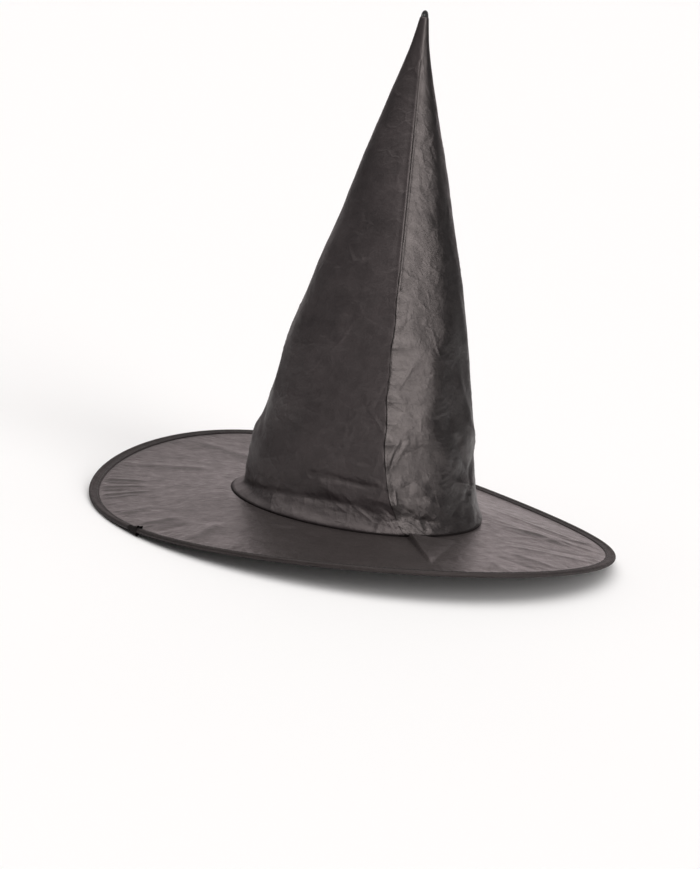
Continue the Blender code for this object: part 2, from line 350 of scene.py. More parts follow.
# Creases, the same way. They are sharp, and only the outer cloth has them.
CREASES = (
    (-62, 11, -38, 15, 1.2, -0.6), (-40, 15, -12, 17, 1.2, -0.6), (-22, 33, -1, 31, 1.1, -0.5),
    (-14, 24, -3, 12, 1.1, 0.5), (3, 20, 16, 8, 1.1, -0.5), (-6, 25, 10, 21, 1, 0.5),
    (6, 26, 22, 14, 1, -0.5), (12, 8, 36, 5, 1.2, 0.6), (20, 12, 34, 9, 1, -0.5),
    (-3, 37, 8, 31, 1.6, 0.7), (16, 118, 5.5, 96, 0.8, 0.45), (10.5, 67, 4.5, 48, 0.9, 0.5),
    (9, 62, 5, 42, 0.9, -0.4), (-25, 70, -14, 71, 1.2, -0.6), (-20, 66, -16, 50, 1, 0.4),
    (-14, 60, -24, 52, 1, -0.4), (-16, 50, -3, 47, 1.1, -0.5), (-12, 44, -1, 44, 1.1, 0.5),
    (-8, 54, -1, 50, 0.9, -0.4), (-74, 172, -49, 180, 1, 0.4), (-62, 168, -50, 176, 0.9, -0.3),
    (46, 37, 69, 30, 1.2, 0.6), (56, 32, 50, 17, 1, 0.5), (44, 80, 52, 54, 1, 0.5),
    (40, 100, 47, 72, 1.2, -0.5), (58, 283, 32, 262, 1, 0.4), (24, 303, 56, 284, 1, -0.4),
    (32, 262, 42, 250, 1, -0.4), (60, 226, 50, 205, 1.2, -0.4), (52, 205, 62, 180, 1.2, 0.4),
)
RANDOM_CREASES = 300
CREASE_SEED = 23
# The fine relief is held between these, so that the layers stay apart.
MOST_INWARD = 0.75 * MM
MOST_OUTWARD = 1.4 * MM

# The crown's layers: thickness, and how deep inside the CAD crown's surface each lies.
TIP_ROUNDING = 2.0 * MM
TAFFETA = 0.25 * MM
FELT = 0.4 * MM
FELT_INSET = 1.15 * MM
SEAM_INSET = 1.2 * MM
BAND_INSETS = (1.9 * MM, 2.25 * MM, 2.6 * MM)

# The puckers that cross the front seam: rise and strength in mm.
SEAM_PUCKERS = (
    (22, 0.5), (33, 0.6), (48, 0.9), (62, 1.2), (76, 0.6), (91, 1.2), (103, 0.5), (113, 0.4),
    (127, 0.9), (138, 0.4), (149, 0.5), (158, 0.5), (171, 0.3),
)


def crown_radius(rise):
    return smooth_curve(rise, CROWN_RISES, CROWN_HALF_WIDTHS)


def random_creases():
    """Short crisp creases spread over the whole crown, denser and deeper towards the brim."""
    rng = np.random.default_rng(CREASE_SEED)
    creases = []
    for _ in range(RANDOM_CREASES):
        rise = 6 + 240 * rng.random() ** 1.9
        angle = rng.uniform(-180, 180)
        length = rng.uniform(8, 24)
        slant = rng.choice((rng.normal(-60, 18), rng.normal(60, 18), rng.normal(5, 15)))
        radius = crown_radius(rise * MM)
        across = degrees(length * MM * cos(radians(slant)) / radius)
        up = length * sin(radians(slant))
        height = rng.uniform(0.15, 0.5) * (0.6 + 1.3 * exp(-rise / 60))
        height *= rng.choice((-1, 1))
        width = rng.uniform(0.5, 1.3)
        creases.append((angle, rise, angle + across, rise + up, width, height))
    return creases


def line_places(x, y, start, end):
    """How far along a line each point is, from 0 to 1, and how far to its right in metres."""
    run_x = end[0] - start[0]
    run_y = end[1] - start[1]
    length = hypot(run_x, run_y)
    x = x - start[0]
    y = y - start[1]
    return (x * run_x + y * run_y) / length**2, (x * run_y - y * run_x) / length


def fold_heights(x, y, start, end, width, height, crisp):
    """How far one fold lifts each point, in metres. A crisp one has a sharp crest."""
    along, across = line_places(x, y, start, end)
    across = np.abs(across) / (width * MM)
    fade = smoothstep(along, -0.1, 0.3) * (1 - smoothstep(along, 0.7, 1.1))
    profile = np.exp(-across) if crisp else 1 / (1 + across**2) ** 1.5
    return height * MM * fade * profile


def crown_folds(around, rise, folds, crisp):
    """Sum of folds whose ends are given by angle and rise."""
    total = np.zeros_like(rise)
    for start_angle, start_rise, end_angle, end_rise, width, height in folds:
        middle = radians((start_angle + end_angle) / 2)
        radius = crown_radius((start_rise + end_rise) / 2 * MM)
        x = wrapped(around - middle) * radius
        half_run = radians((end_angle - start_angle) / 2) * radius
        start = (-half_run, start_rise * MM)
        end = (half_run, end_rise * MM)
        total += fold_heights(x, rise, start, end, width, height, crisp)
    return total


ALL_CREASES = list(CREASES) + random_creases()


def outline_shift(profile, rise):
    knots = np.array([row[0] for row in profile]) * MM
    values = np.array([row[1] for row in profile]) * MM
    return smooth_curve(np.clip(rise, 0, GORE_TOP), knots, values)


def flattening(around, rise, seam):
    """Radius factor that draws the cone flatter between its corners and pushes the corners out.

    The front corner is the seam itself, wherever it runs.
    """
    ends = [np.full_like(seam, radians(angle)) if angle else seam for angle, _ in CORNERS]
    waver = 0.07 * np.sin(rise / (19 * MM)) + 0.045 * np.sin(rise / (7.5 * MM) + 1)
    ends[WAVERING] = ends[WAVERING] + waver + 0.12 * smoothstep(rise, 110 * MM, 190 * MM)
    softer = 1 - 0.55 * smoothstep(rise, 165 * MM, 235 * MM)
    total = np.zeros_like(around)
    for shift in np.linspace(-1, 1, 9):
        away = np.clip(np.abs(around - seam) / CORNER_ROUNDING, 0.01, 1)
        turned = wrapped(around + shift * away * CORNER_ROUNDING * 0.98)
        shape = np.ones_like(around)
        for i, flatness in enumerate(FLATNESS):
            low, high = ends[i], ends[i + 1]
            reach_low, reach_high = CORNERS[i][1], CORNERS[i + 1][1]
            share = np.clip((turned - low) / (high - low), 0, 1)
            round_way = reach_low + (reach_high - reach_low) * share
            near = np.sin(share * (high - low))
            far = np.sin((1 - share) * (high - low))
            chord = reach_low * far + reach_high * near
            straight = reach_low * reach_high * np.sin(high - low) / chord
            level = round_way + flatness * softer * (straight - round_way)
            shape = np.where((turned >= low) & (turned <= high), level, shape)
        total += shape * (1 - 0.8 * abs(shift)) / 5.0
    return 1 + smoothstep(rise, 1 * MM, 24 * MM) * (total - 1)


def seam_relief(side, distance, rise):
    """Height of the cloth beside the front seam: a narrow rib above, puckered lobes below."""
    upper = smoothstep(rise, 150 * MM, 185 * MM)
    rib = 0.25 * MM * bump(distance, 1.0 * MM, 0.9 * MM)
    groove = -0.12 * MM * bump(distance, 3.2 * MM, 1.4 * MM)
    relief = (rib + groove) * upper
    for middle, strength in SEAM_PUCKERS:
        lobe = np.exp(-np.abs(rise - middle * MM) / (2.4 * MM))
        reach = 7.0 * MM if side > 0 else 5.0 * MM
        relief += strength * MM * lobe * np.exp(-distance / reach) * (2.1 if side > 0 else -0.8)
    drawn_in = 0.25 + 0.75 * smoothstep(rise, 30 * MM, 60 * MM)
    edge = -0.55 * MM * drawn_in * np.exp(-distance / (0.6 * MM))
    return relief + edge * (1 - 0.5 * upper)


def seam_waver(rise):
    """Sideways waver of the front seam's line, in metres."""
    lower = 1 - smoothstep(rise, 130 * MM, 190 * MM)
    swing = 0.55 * np.sin(rise / (5.3 * MM)) + 0.45 * np.sin(rise / (11 * MM) + 1)
    return 0.6 * MM * lower * swing * smoothstep(rise, 2 * MM, 20 * MM)


def crown_points(side, turn, rise, inset=0.0, fine=False):
    """Points of a gore. turn runs from 0 at the front seam to 1 at the back; side is -1 or 1.

    Only the outer cloth has the fine relief. The layers inside follow the larger shapes.
    """
    radius = crown_radius(rise)
    seam = front_seam_angle(rise) + seam_waver(rise) / radius
    around = side * turn * pi + seam * (1 - turn)
    to_seam = pi * np.minimum(turn, 1 - turn)
    fade = np.clip(rise / RIDGE_FULL_RISE, 0, 1)
    ridge = SEAM_RIDGE * fade * np.exp(-to_seam / RIDGE_SPREAD)
    left = bump(wrapped(around - radians(LEFT_REACH[0])), 0, LEFT_REACH[1])
    right = bump(around - radians(RIGHT_REACH[0]), 0, RIGHT_REACH[1])
    lift = left * outline_shift(LEFT_SIDE, rise) + right * outline_shift(RIGHT_SIDE, rise)
    for mid_angle, mid_rise, wide, tall, height in SWELLINGS:
        off = wrapped(around - radians(mid_angle))
        lift += height * MM * bump(off, 0, radians(wide)) * bump(rise, mid_rise * MM, tall * MM)
    near_base = smoothstep(rise, 0.0, 5 * MM)
    # Near the tip all relief gets smaller with the crown.
    narrow = np.clip(radius / (25 * MM), 0.0, 1.0)
    distance = to_seam * radius
    flat = place_round(around, radius, rise)
    slow = noise_field(flat * (1, 1, 0.55), 52 * MM, 3).reshape(rise.shape)
    broad = crown_folds(around, rise, FOLDS, False) + 1.0 * MM * slow
    lift += broad * near_base * narrow
    if fine:
        front = np.where(turn < 0.5, 1.0, 0.0)
        relief = crown_folds(around, rise, ALL_CREASES, True)
        relief += front * seam_relief(side, distance, rise)
        # The back seam is a plain groove.
        relief -= (1 - front) * 0.7 * MM * np.exp(-distance / (0.8 * MM))
        depth = 0.35 + 0.8 * np.exp(-rise / (40 * MM)) + 0.3 * bump(rise, 270 * MM, 40 * MM)
        crumple = crackle_field(flat, 17 * MM, 5).reshape(rise.shape)
        relief += 1.1 * MM * depth * (crumple - 0.3)
        most = np.where(relief < 0, MOST_INWARD, MOST_OUTWARD)
        relief = most * np.tanh(relief / most)
        lift += relief * near_base * narrow
    radius = radius * (1 + ridge) * flattening(around, rise, seam) + lift - inset
    over = np.clip((rise - GORE_TOP) / TIP_ROUNDING + 1, 0, 0.97)
    radius = radius * np.sqrt(1 - over**2)
    points = place_round(around, radius, BASE_HEIGHT + rise)
    points[..., 0] += crown_axis(rise)
    return points


def seam_spread(columns):
    """Turns from seam to seam, closer together at the seams."""
    u = np.linspace(0, 1, columns)
    return u - 0.88 * np.sin(2 * pi * u) / (2 * pi)


def crown_layer(name, points, turn, rise, stretch, thickness):
    """One layer of a gore from its grid of points. stretch is its cloth's length for each rise."""
    across = (turn - 0.5) * pi * crown_radius(rise)
    flat = np.stack([across, rise * stretch], axis=-1)
    obj = new_mesh(name, points, grid_faces(*turn.shape), flat)
    face_outward(obj)
    thicken(obj, thickness)
    return obj


def make_gore(side_name, side, material):
    rises = np.linspace(0.8 * MM, GORE_TOP - TIP_ROUNDING, 328)
    dome = GORE_TOP - TIP_ROUNDING * (1 - np.sin(np.linspace(0.2, pi / 2, 7)))
    turn, rise = np.meshgrid(seam_spread(150), np.concatenate([rises, dome]))
    turned_in = 1.2 * MM * bump(rise, 0.8 * MM, 1.2 * MM)
    points = crown_points(side, turn, rise, turned_in, fine=True)
    obj = crown_layer(f"{side_name}_gore_cloth", points, turn, rise, 1.03, TAFFETA)
    finish_crown_piece(obj, f"{side_name}_gore", material)


def make_stiffener(side_name, side, material):
    turn, rise = np.meshgrid(np.linspace(0, 1, 90), np.linspace(7 * MM, 324 * MM, 160))
    margin = 3.0 * MM / (pi * crown_radius(rise))
    turn = margin + turn * (1 - 2 * margin)
    points = crown_points(side, turn, rise, FELT_INSET)
    obj = crown_layer(f"{side_name}_stiffener_felt", points, turn, rise, 1, FELT)
    finish_crown_piece(obj, f"{side_name}_stiffener", material)


def bend_with_tip(obj):
    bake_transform(obj)


def finish_crown_piece(obj, node, material):
    """A piece as long as the crown: it stands for three CAD nodes, and its placement is baked into
    its mesh.
    """
    dress(obj, material)
    bend_with_tip(obj)
    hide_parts(*[f"{node}{part}" for part in CAD_STRETCHES])


def make_allowance(seam_name, turn_at, cloth, thread):
    """The two raw edges inside a seam, pressed together, with overlock thread laced over them."""
    rises = np.linspace(26 * MM, 321 * MM, 300)
    depths = np.array([0, 0.35, 0.7, 1.0, 1.0, 0.7, 0.35, 0])
    sides = np.array([1, 1, 1, 0.8, -0.8, -1, -1, -1])
    turns = np.full_like(rises, turn_at)
    seam = crown_points(1, turns, rises, SEAM_INSET)
    axis = np.stack([crown_axis(rises), np.zeros_like(rises), seam[:, 2]], axis=-1)
    reach = np.linalg.norm(seam - axis, axis=-1)
    outward = (seam - axis) / reach[:, None]
    sideways = np.stack([-outward[:, 1], outward[:, 0], np.zeros_like(rises)], axis=-1)
    depth = np.minimum(ALLOWANCE_DEPTH, 0.38 * reach)
    waver = 0.7 * MM * np.sin(rises / (9 * MM)) + 0.35 * MM * np.sin(rises / (3.7 * MM) + 2)
    waver *= depth / ALLOWANCE_DEPTH
    rows = []
    for share, side in zip(depths, sides):
        shift = side * 0.4 * MM + waver * share**2
        rows.append(seam - outward * (depth * share)[:, None] + sideways * shift[:, None])
    points = np.stack(rows, axis=1)
    columns = np.broadcast_to(depths * ALLOWANCE_DEPTH * sides, points.shape[:2])
    flat = np.stack([columns, np.broadcast_to(rises[:, None], points.shape[:2])], axis=-1)
    obj = new_mesh(f"{seam_name}_seam_edges", points, grid_faces(*points.shape[:2]), flat)
    finish_crown_piece(obj, f"{seam_name}_seam", cloth)
    count = 330
    at = np.linspace(0.01, 0.99, count)
    index = at * (len(rises) - 1)
    low = index.astype(int)
    part = (index - low)[:, None]
    beat = np.arange(count) % 4
    share = np.array([0.15, 1.12, 0.15, 1.12])[beat]
    side = np.array([0.75, 0.55, -0.75, -0.55])[beat]
    base = seam[low] * (1 - part) + seam[low + 1] * part
    shift = side * MM + waver[low] * share**2
    path = base - outward[low] * (depth[low] * share)[:, None] + sideways[low] * shift[:, None]
    lacing = thread_mesh(f"{seam_name}_seam_overlock", path, 0.16 * MM)
    dress(lacing, thread)
    bend_with_tip(lacing)


def ring_points(count, rises, insets):
    """Rings round the inside of the crown: one for each rise and inset, with no fine relief."""
    u = np.linspace(0, 2, count, endpoint=False)
    turns = np.where(u <= 1, u, 2 - u)
    rings = []
    for rise, inset in zip(rises, insets):
        level = np.full(count, rise)
        right = crown_points(1, turns, level, inset)
        left = crown_points(-1, turns, level, inset)
        rings.append(np.where((u <= 1)[:, None], right, left))
    return np.stack(rings)


def ring_mesh(name, rises, insets, radius):
    """A closed band round the inside of the crown. radius sets the scale of its weave."""
    count = 720
    points = ring_points(count, rises, insets)
    along = np.linspace(0, 2 * pi * radius, count, endpoint=False)
    flat = np.stack(np.meshgrid(along, rises), axis=-1)
    faces = grid_faces(*points.shape[:2], wrap=True, loop=True)
    return new_mesh(name, points, faces, flat)


def make_sweatband(material, thread):
    """A ribbed ribbon round the head opening, sewn along its lower edge."""
    low = 1.0 * MM
    high = BAND_HEIGHT - 0.1 * MM
    front, middle, back = BAND_INSETS
    outer = np.linspace(low, high, 9)
    rises = np.concatenate([outer, [high + 0.15 * MM], outer[::-1], [low - 0.15 * MM]])
    insets = np.concatenate([np.full(9, front), [middle], np.full(9, back), [middle]])
    obj = ring_mesh("grosgrain_sweatband", rises, insets, 85 * MM)
    face_outward(obj)
    add_piece(obj, material, LOWER, "sweatband", "sweatband")
    for name, rise in (("sweatband_stitches", 3.2 * MM), ("sweatband_top_stitches", 22.8 * MM)):
        path = ring_points(1440, [rise], [back])[0]
        inward = -path.copy()
        inward[:, 2] = 0
        inward /= np.linalg.norm(inward, axis=-1, keepdims=True)
        stitches = stitch_line(name, path, inward, length=2.6 * MM, gap=0.7 * MM, radius=0.17 * MM)
        add_piece(stitches, thread, LOWER, "thread")


def make_base_overlock(cloth):
    """The allowance of the seam between crown and brim: a low wall with a rounded top."""
    rises = np.array([0.0, 3.0, 5.0, 5.9, 6.1, 5.9, 5.0, 3.0, 0.0]) * MM
    insets = np.array([1.0, 1.0, 1.0, 1.0, 1.2, 1.45, 1.45, 1.45, 1.45]) * MM
    obj = ring_mesh("base_overlock", rises, insets, 90 * MM)
    add_piece(obj, cloth, LOWER, "thread", "base_seam_overlock")


def make_tip_tack(material):
    """Thread wound round the point, from 1.4 mm below the gores' top to 3.5 mm above it."""
    x = crown_axis(GORE_TOP)
    turns = 14
    t = np.linspace(0, 1, 40 * turns)
    up = t * pi / 2
    radius = (0.15 + 2.4 * np.cos(up)) * MM
    angle = 2 * pi * turns * t
    height = BASE_HEIGHT + GORE_TOP - 1.4 * MM + 4.9 * MM * np.sin(up)
    path = np.stack([x + radius * np.cos(angle), radius * np.sin(angle), height], axis=-1)
    obj = thread_mesh("tip_tack_winding", path, 0.22 * MM)
    add_piece(obj, material, UPPER, "thread", "tip_bar_tack")


def make_label(satin, thread):
    """A blank folded satin label, sewn at its top edge."""
    low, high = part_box("care_label")
    half = (high[0] - low[0]) / 2
    middle_y = (low[1] + high[1]) / 2
    top = high[2]
    drop = high[2] - low[2]
    # Half the space between the two layers.
    gap = 0.32 * MM
    leg = np.linspace(0, 1, 25) * (drop - gap)
    turn = np.linspace(0, pi, 9)[1:-1]
    down = np.concatenate([leg, drop - gap * (1 - np.sin(turn)), leg[::-1]])
    side = np.concatenate([np.full(25, gap), gap * np.cos(turn), np.full(25, -gap)])
    grid_x, grid_down = np.meshgrid(np.linspace(-half, half, 33), down)
    grid_side = np.broadcast_to(side[:, None], grid_x.shape)
    curl = 0.12 * MM * np.sin(grid_x / (4.2 * MM) + grid_down / (9 * MM))
    curl *= smoothstep(grid_down, 0, 9 * MM)
    points = np.stack([grid_x, middle_y + grid_side + curl, top - grid_down], axis=-1)
    flat = np.stack([grid_x, grid_down], axis=-1)
    obj = new_mesh("blank_satin_label", points, grid_faces(*grid_x.shape), flat)
    thicken(obj, 0.14 * MM, offset=0.0)
    add_piece(obj, satin, LABEL, "label_satin", "care_label")
    across = np.linspace(-half + 1 * MM, half - 1 * MM, 200)
    path = np.stack([across, np.full(200, middle_y - gap), np.full(200, top - 1.3 * MM)], axis=-1)
    out = np.broadcast_to(np.array([0.0, -1.0, 0.0]), path.shape)
    stitches = stitch_line(
        "label_stitches", path, out, length=1.9 * MM, gap=0.6 * MM, radius=0.14 * MM
    )
    add_piece(stitches, thread, LABEL, "thread")


# ---- brim

# Soft folds in the brim by their ends: angle, radius, angle, radius, width and height in mm.
BRIM_FOLDS = (
    (-100.7, 184, -98.5, 150, 2.4, 0.8), (-94.3, 184, -93.5, 148, 2.2, 0.8),
    (-91, 184, -90.5, 162, 1.8, -0.6), (-87.5, 184, -88.5, 146, 2.2, 0.8),
    (-84.6, 184, -86, 156, 2, 0.6), (-97.5, 182, -96, 158, 1.8, -0.6),
    (-61.6, 178, -61, 146, 5, 1.1), (-44.3, 180, -49, 134, 7, 1.5), (-55, 180, -55, 150, 6, -0.9),
    (-72, 180, -74, 150, 5, 0.6), (-35, 112, -22, 104, 5, 0.8), (-12, 128, -2, 100, 4, 0.7),
    (-20, 122, -14, 104, 3, -0.6), (115.6, 112, 84, 183, 4, 1), (122, 120, 88, 184, 3, -0.35),
    (104, 104, 82, 184, 4, -0.35), (94.2, 97, 72, 182, 4, 0.7), (84, 100, 78, 184, 3.5, 1),
    (76.3, 104, 75, 184, 3.5, -0.4), (65.3, 112, 85.5, 180, 4.5, 0.6), (58, 118, 70, 182, 4, -0.6),
    (52, 124, 62, 182, 4.5, 0.8), (44.8, 134, 44.6, 180, 4.5, 1), (37, 140, 38, 182, 4, -0.6),
    (30.9, 152, 27.2, 183, 4.5, 0.8), (88.5, 150, 86.5, 184, 2, 0.5), (91, 160, 89.5, 184, 2, -0.5),
    (150, 110, 146, 180, 8, 0.9), (-150, 104, -140, 178, 8, 1), (176, 112, 170, 170, 7, -0.8),
    (-120, 112, -112, 178, 7, 0.8),
)

# A pleat runs out from the base seam between these angles and radii. One edge is sharp, and the
# cloth slopes away from it towards +X.
PLEAT_START = (17.5, 91.5)
PLEAT_END = (12.0, 162.0)
PLEAT_REACH = 34 * MM
PLEAT_HEIGHT = 5.0 * MM

# Short puckers along both edges of the brim: where they start, in mm from the middle.
PUCKERS = 260
PUCKER_SEED = 41
OUTER_START = 182.5
INNER_START = 92
PUCKER_WINDOW = 0.08


def spot(angle, radius):
    """Place on the brim's plane of an angle in degrees and a radius in mm."""
    turn = radians(angle)
    return (radius * MM * sin(turn), -radius * MM * cos(turn))


def hoop_height(angle):
    """Height of the hoop's centre line. The waves' places are angles from +X."""
    total = HOOP_LIFT
    for count, size, high in HOOP_WAVES:
        total = total + size * np.cos(count * (angle - pi / 2 - radians(high)))
    return total


def brim_height(angle, radius):
    share = np.clip((radius - SEAT_RADIUS) / (LEG_RADIUS - SEAT_RADIUS), 0, 1)
    return BASE_HEIGHT + (hoop_height(angle) - BASE_HEIGHT) * share


def pleat_height(x, y):
    along, right = line_places(x, y, spot(*PLEAT_START), spot(*PLEAT_END))
    left = -right
    reach = PLEAT_REACH * np.clip(1.0 - along, 0.02, 1)
    slope = np.clip(1 - np.maximum(left, 0) / reach, 0, 1)
    shape = smoothstep(left, -1.1 * MM, 0.4 * MM) * slope
    fade = smoothstep(along, -0.3, 0.0) * (1 - smoothstep(along, 0.85, 1.03))
    return PLEAT_HEIGHT * shape * fade * (1 - 0.75 * np.clip(along, 0, 1))


def brim_relief(angle, radius):
    """Wrinkles of the brim's cloth, which its two seams hold flat at its edges."""
    x = np.sin(angle) * radius
    y = -np.cos(angle) * radius
    total = np.zeros_like(radius)
    for start_angle, start, end_angle, end, width, height in BRIM_FOLDS:
        first = spot(start_angle, start)
        last = spot(end_angle, end)
        total += fold_heights(x, y, first, last, width, height, False)
    rng = np.random.default_rng(PUCKER_SEED)
    for i in range(PUCKERS):
        at = rng.uniform(-180, 180)
        outer = i % 3 > 0
        length = rng.uniform(6, 15) if outer else rng.uniform(5, 11)
        begin = OUTER_START if outer else INNER_START
        finish = begin - length if outer else begin + length
        height = rng.uniform(0.10, 0.30) * rng.choice((-1, 1))
        width = rng.uniform(0.8, 1.5)
        bend = rng.normal(0, 1.5)
        near = np.abs(wrapped(angle - radians(at))) < PUCKER_WINDOW
        first = spot(at, begin)
        last = spot(at + bend, finish)
        total[near] += fold_heights(x[near], y[near], first, last, width, height, False)
    polar = np.stack([np.sin(angle) * 45 * MM, np.cos(angle) * 45 * MM, radius * 0.3], axis=-1)
    total += 0.38 * MM * noise_field(polar, 16 * MM, 9).reshape(radius.shape)
    total += pleat_height(x, y)
    inner = smoothstep(radius, 91 * MM, 99 * MM)
    outer = 1 - smoothstep(radius, LEG_RADIUS - 5 * MM, LEG_RADIUS + 1 * MM)
    return total * inner * outer


def make_brim(material):
    angle, radius = np.meshgrid(
        np.linspace(-pi, pi, 1000, endpoint=False),
        np.linspace(HEAD_RADIUS, RIM_RADIUS - 2.2 * MM, 90),
    )
    height = brim_height(angle, radius) + brim_relief(angle, radius)
    points = place_round(angle, radius, height)
    obj = new_mesh("brim_cloth", points, grid_faces(*angle.shape, wrap=True), points[..., :2])
    thicken(obj, 0.2 * MM, offset=0.0)
    add_piece(obj, material, LOWER, "brim_taffeta", "brim")


# Section of the folded tape, in mm from the wire's middle: a leg, its inside, and the round over
# the wire, which is open towards the brim.
CASING_LEG = [(-5.5, 0.20), (-5.65, 0.38), (-5.5, 0.56), (-4.2, 0.58), (-2.9, 0.64), (-2.0, 0.73)]
CASING_INSIDE = [(-5.3, 0.18), (-2.4, 0.2), (-1.4, 0.45)]
CASING_OUTER_RADIUS = 1.68
CASING_INNER_RADIUS = 1.38
CASING_TURN = np.radians(np.linspace(148, -148, 17))[:, None]
CASING_ROUND = np.concatenate([np.cos(CASING_TURN), np.sin(CASING_TURN)], axis=1)
CASING_OUTER = len(CASING_ROUND) + 2 * len(CASING_LEG)
CASING_SHAPE = np.concatenate(
    [
        CASING_LEG,
        CASING_OUTER_RADIUS * CASING_ROUND,
        np.array(CASING_LEG[::-1]) * (1, -1),
        np.array(CASING_INSIDE) * (1, -1),
        CASING_INNER_RADIUS * CASING_ROUND[::-1],
        CASING_INSIDE[::-1],
    ]
)
CASING_SEED = 7


def casing_points(angles, grow=0.0, lift=None, puckers=1.0):
    """The folded tape round the hoop: a bead over the wire and two flat legs on the brim cloth."""
    rng = np.random.default_rng(CASING_SEED)
    # Ripples of the sewn legs: 40 to 330 to the round, each with its phase and size.
    waves = [(rng.integers(40, 330), rng.uniform(0, 6.28), rng.uniform(0.3, 1)) for _ in range(14)]
    ripple = sum(size * np.sin(k * angles + phase) for k, phase, size in waves) / 4
    x = np.broadcast_to(CASING_SHAPE[:, 0], (len(angles), len(CASING_SHAPE))).copy()
    y = np.broadcast_to(CASING_SHAPE[:, 1], x.shape).copy()
    leg = np.clip(-(x + 1.6) / 5.0, 0, 1)
    outer = (np.arange(x.shape[1]) < CASING_OUTER)[None, :]
    y += np.sign(y) * 0.16 * puckers * np.abs(ripple)[:, None] * leg * outer
    x += 0.22 * puckers * ripple[:, None] * leg * outer
    x += np.sign(x) * grow * outer
    y += np.sign(y) * grow * outer
    if lift is not None:
        y += np.sign(y) * lift[:, None] * outer
    radius = RIM_RADIUS + x * MM
    height = hoop_height(angles)[:, None] + y * MM
    return place_round(angles[:, None], radius, height)


def tape_flat(angles):
    across = distances_along(CASING_SHAPE) * MM
    return np.stack(np.meshgrid(across, angles * RIM_RADIUS), axis=-1)


def make_casing(material, thread):
    angles = np.linspace(-pi, pi, 1500, endpoint=False)
    points = casing_points(angles)
    faces = grid_faces(*points.shape[:2], wrap=True, loop=True)
    obj = new_mesh("hoop_casing_tape", points, faces, tape_flat(angles))
    add_piece(obj, material, LOWER, "binding_tape", "brim_binding")
    rows = (("top", 1, "binding_stitches_top"), ("under", -1, "binding_stitches_under"))
    for name, side, node in rows:
        around = np.linspace(-pi, pi, 2400)
        radius = LEG_RADIUS + 1.3 * MM
        height = hoop_height(around) + side * 0.66 * MM
        path = place_round(around, radius, height)
        out = np.broadcast_to(np.array([0.0, 0.0, float(side)]), path.shape)
        stitches = stitch_line(
            f"casing_stitches_{name}", path, out, length=2.7 * MM, gap=0.6 * MM, radius=0.15 * MM
        )
        add_piece(stitches, thread, LOWER, "thread", node)


def make_join(material):
    """Where the tape's ends overlap. The upper one is cut on the slant and stands up a little. Its
    cloth is painted darker than the tape: painted shade, for the shadow at the raised end.
    """
    length = 7.5 * MM / RIM_RADIUS
    angles = np.linspace(JOIN_ANGLE - length / 2, JOIN_ANGLE + length / 2, 24)
    t = np.linspace(0, 1, 24)
    # Lift off the tape in mm: the first end is tucked in, the last stands up.
    lift = 0.16 + 1.7 * smoothstep(t, 0.4, 1.0) ** 2
    lift[0] = -0.1
    points = casing_points(angles, grow=0.12, lift=lift, puckers=0.5)
    slant = np.clip((points[..., 0] ** 2 + points[..., 1] ** 2) ** 0.5 - LEG_RADIUS, 0, None)
    tangent = np.stack([np.cos(angles), np.sin(angles), np.zeros_like(angles)], axis=-1)
    points += tangent[:, None] * (slant * 0.45 * t[:, None])[..., None]
    faces = grid_faces(*points.shape[:2], wrap=True)
    obj = new_mesh("casing_tape_overlap", points, faces, tape_flat(angles))
    thicken(obj, 0.2 * MM, offset=0.0)
    add_piece(obj, material, LOWER, "binding_tape", "binding_join")


# ---- nodes


class Graph:
    """Short ways to add and join nodes. A value is a number, a tuple or another node's output."""

    def __init__(self, tree):
        self.tree = tree

    def add(self, kind, *values, **settings):
        """A node with these settings, and these values in its first inputs."""
        node = self.tree.nodes.new(kind)
        for key, value in settings.items():
            setattr(node, key, value)
        for socket, value in zip(node.inputs, values):
            self.give(value, socket)
        return node

    def give(self, value, socket):
        if isinstance(value, bpy.types.NodeSocket):
            self.tree.links.new(value, socket)
        else:
            socket.default_value = value

    def math(self, operation, *values):
        return self.add("ShaderNodeMath", *values, operation=operation).outputs[0]

    def vector(self, operation, *values):
        return self.add("ShaderNodeVectorMath", *values, operation=operation).outputs["Vector"]

    def along(self, vector, direction):
        node = self.add("ShaderNodeVectorMath", vector, direction, operation="DOT_PRODUCT")
        return node.outputs["Value"]

    def axis(self, vector, name):
        return self.add("ShaderNodeSeparateXYZ", vector).outputs[name]

    def stretch(self, value, low, high, to_low, to_high, **settings):
        node = self.add("ShaderNodeMapRange", value, low, high, to_low, to_high, **settings)
        return node.outputs["Result"]


